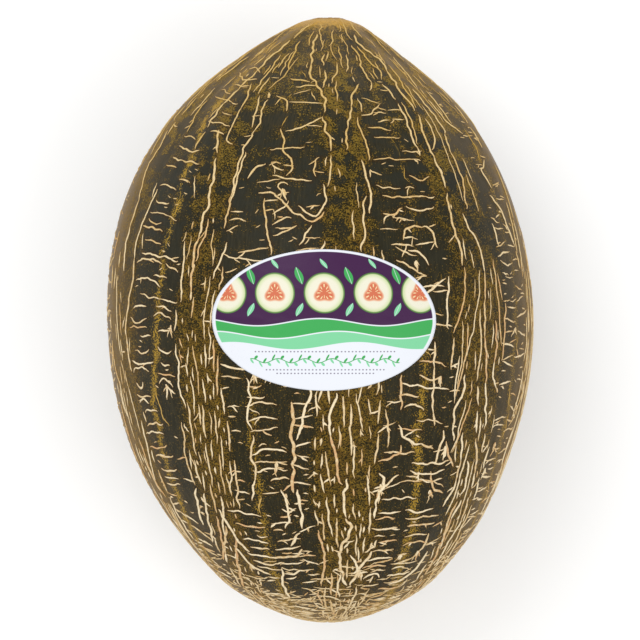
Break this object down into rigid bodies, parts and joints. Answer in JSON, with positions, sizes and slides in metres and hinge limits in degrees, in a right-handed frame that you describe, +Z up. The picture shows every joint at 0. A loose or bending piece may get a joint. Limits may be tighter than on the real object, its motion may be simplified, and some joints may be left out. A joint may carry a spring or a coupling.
{
  "type": "piel de sapo melon",
  "caption": "Whole oval melon with a dark green rind, a raised cream net of cracks and an oval sticker, lying on its side.",
  "frame": {"origin": "on the resting plane, under the middle of the fruit's box", "axes": "+Y along the fruit towards its stem end, +Z up through the sticker, +X across the fruit"},
  "size_m": [0.1482, 0.209, 0.1458],
  "materials": {
    "rind": "dark olive rind with a satin shine, and a raised corky cream net",
    "label": null
  },
  "bodies": {
    "root": {"melon": "rind", "label": "label"}
  },
  "joints": []
}
